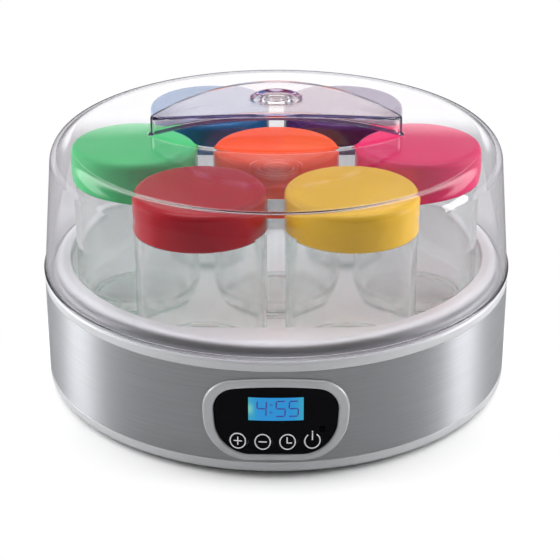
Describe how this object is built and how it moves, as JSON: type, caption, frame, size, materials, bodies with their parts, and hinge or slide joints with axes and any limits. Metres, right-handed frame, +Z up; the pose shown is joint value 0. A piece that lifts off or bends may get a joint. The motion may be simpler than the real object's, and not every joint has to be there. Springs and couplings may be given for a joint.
{
  "type": "yogurt maker",
  "caption": "Round electric yogurt maker: steel-banded base with a timer panel, glass jars with coloured caps in a heated tray, under a clear cover with an arched grip.",
  "frame": {"origin": "on the table under the middle of the base", "axes": "+Z up, -Y out of the control panel, +X to the right seen from the front"},
  "size_m": [0.2406, 0.2432, 0.149],
  "materials": {
    "housing_grey": "satin",
    "steel": "brushed",
    "tray": "satin",
    "bezel_grey": "satin",
    "panel_black": "gloss",
    "display": "gloss",
    "indicator": "gloss",
    "clear": "clear",
    "jar_glass": "clear",
    "rubber": "matte",
    "screw": "plain",
    "silicone": "matte",
    "shield": "plain",
    "circuit_board": "matte",
    "component": "matte",
    "lead": "matte",
    "ribbon": "matte",
    "cap_right_colour": "satin",
    "cap_rear_right_colour": "satin",
    "cap_rear_left_colour": "satin",
    "cap_left_colour": "satin",
    "cap_front_left_colour": "satin",
    "cap_front_right_colour": "satin",
    "cap_middle_colour": "satin"
  },
  "bodies": {
    "base": {"rubber_feet": "rubber", "lower_housing": "housing_grey", "wall_ring": "housing_grey", "steel_band": "steel", "upper_housing": "housing_grey", "heating_tray": "tray", "housing_screws": "screw", "heater_mat": "silicone", "heat_shield": "shield", "thermal_cutout": "component", "temperature_sensor": "component", "heater_leads": "lead", "power_board": "circuit_board", "transformer": "component", "heater_relay": "component", "filter_capacitor": "component", "terminal_block": "component", "board_screws": "screw", "ribbon_cable": "ribbon", "control_board": "circuit_board", "buzzer": "component", "microcontroller": "component", "tact_switches": "component", "control_bezel": "bezel_grey", "control_panel": "panel_black", "display_window": "display", "display_module": "component", "indicator_lens": "indicator", "cord_gland": "rubber"},
    "cover": {"clear_cover": "clear"},
    "jar_right": {"jar_right": "jar_glass"},
    "cap_right": {"cap_right": "cap_right_colour"},
    "jar_rear_right": {"jar_rear_right": "jar_glass"},
    "cap_rear_right": {"cap_rear_right": "cap_rear_right_colour"},
    "jar_rear_left": {"jar_rear_left": "jar_glass"},
    "cap_rear_left": {"cap_rear_left": "cap_rear_left_colour"},
    "jar_left": {"jar_left": "jar_glass"},
    "cap_left": {"cap_left": "cap_left_colour"},
    "jar_front_left": {"jar_front_left": "jar_glass"},
    "cap_front_left": {"cap_front_left": "cap_front_left_colour"},
    "jar_front_right": {"jar_front_right": "jar_glass"},
    "cap_front_right": {"cap_front_right": "cap_front_right_colour"},
    "jar_middle": {"jar_middle": "jar_glass"},
    "cap_middle": {"cap_middle": "cap_middle_colour"},
    "button_plus": {"button_plus": "panel_black"},
    "button_minus": {"button_minus": "panel_black"},
    "button_timer": {"button_timer": "panel_black"},
    "button_power": {"button_power": "panel_black"}
  },
  "joints": [
    {"name": "cover_lift", "type": "slide", "parent": "base", "child": "cover", "axis": [0, 0, 1], "range_m": [0, 0.24]},
    {"name": "jar_right_lift", "type": "slide", "parent": "base", "child": "jar_right", "axis": [0, 0, 1], "range_m": [0, 0.06]},
    {"name": "cap_right_lift", "type": "slide", "parent": "jar_right", "child": "cap_right", "axis": [0, 0, 1], "range_m": [0, 0.06]},
    {"name": "jar_rear_right_lift", "type": "slide", "parent": "base", "child": "jar_rear_right", "axis": [0, 0, 1], "range_m": [0, 0.06]},
    {"name": "cap_rear_right_lift", "type": "slide", "parent": "jar_rear_right", "child": "cap_rear_right", "axis": [0, 0, 1], "range_m": [0, 0.06]},
    {"name": "jar_rear_left_lift", "type": "slide", "parent": "base", "child": "jar_rear_left", "axis": [0, 0, 1], "range_m": [0, 0.06]},
    {"name": "cap_rear_left_lift", "type": "slide", "parent": "jar_rear_left", "child": "cap_rear_left", "axis": [0, 0, 1], "range_m": [0, 0.06]},
    {"name": "jar_left_lift", "type": "slide", "parent": "base", "child": "jar_left", "axis": [0, 0, 1], "range_m": [0, 0.06]},
    {"name": "cap_left_lift", "type": "slide", "parent": "jar_left", "child": "cap_left", "axis": [0, 0, 1], "range_m": [0, 0.06]},
    {"name": "jar_front_left_lift", "type": "slide", "parent": "base", "child": "jar_front_left", "axis": [0, 0, 1], "range_m": [0, 0.06]},
    {"name": "cap_front_left_lift", "type": "slide", "parent": "jar_front_left", "child": "cap_front_left", "axis": [0, 0, 1], "range_m": [0, 0.06]},
    {"name": "jar_front_right_lift", "type": "slide", "parent": "base", "child": "jar_front_right", "axis": [0, 0, 1], "range_m": [0, 0.06]},
    {"name": "cap_front_right_lift", "type": "slide", "parent": "jar_front_right", "child": "cap_front_right", "axis": [0, 0, 1], "range_m": [0, 0.06]},
    {"name": "jar_middle_lift", "type": "slide", "parent": "base", "child": "jar_middle", "axis": [0, 0, 1], "range_m": [0, 0.06]},
    {"name": "cap_middle_lift", "type": "slide", "parent": "jar_middle", "child": "cap_middle", "axis": [0, 0, 1], "range_m": [0, 0.06]},
    {"name": "button_plus_press", "type": "slide", "parent": "base", "child": "button_plus", "axis": [0, 1, 0], "range_m": [0, 0.0005], "stiffness_N_per_m": 1500},
    {"name": "button_minus_press", "type": "slide", "parent": "base", "child": "button_minus", "axis": [0, 1, 0], "range_m": [0, 0.0005], "stiffness_N_per_m": 1500},
    {"name": "button_timer_press", "type": "slide", "parent": "base", "child": "button_timer", "axis": [0, 1, 0], "range_m": [0, 0.0005], "stiffness_N_per_m": 1500},
    {"name": "button_power_press", "type": "slide", "parent": "base", "child": "button_power", "axis": [0, 1, 0], "range_m": [0, 0.0005], "stiffness_N_per_m": 1500}
  ],
  "couplings": [
    {"joint": "jar_right_lift", "follows": "cover_lift", "ratio": 0.25},
    {"joint": "cap_right_lift", "follows": "cover_lift", "ratio": 0.25},
    {"joint": "jar_rear_right_lift", "follows": "cover_lift", "ratio": 0.25},
    {"joint": "cap_rear_right_lift", "follows": "cover_lift", "ratio": 0.25},
    {"joint": "jar_rear_left_lift", "follows": "cover_lift", "ratio": 0.25},
    {"joint": "cap_rear_left_lift", "follows": "cover_lift", "ratio": 0.25},
    {"joint": "jar_left_lift", "follows": "cover_lift", "ratio": 0.25},
    {"joint": "cap_left_lift", "follows": "cover_lift", "ratio": 0.25},
    {"joint": "jar_front_left_lift", "follows": "cover_lift", "ratio": 0.25},
    {"joint": "cap_front_left_lift", "follows": "cover_lift", "ratio": 0.25},
    {"joint": "jar_front_right_lift", "follows": "cover_lift", "ratio": 0.25},
    {"joint": "cap_front_right_lift", "follows": "cover_lift", "ratio": 0.25},
    {"joint": "jar_middle_lift", "follows": "cover_lift", "ratio": 0.25},
    {"joint": "cap_middle_lift", "follows": "cover_lift", "ratio": 0.25}
  ]
}
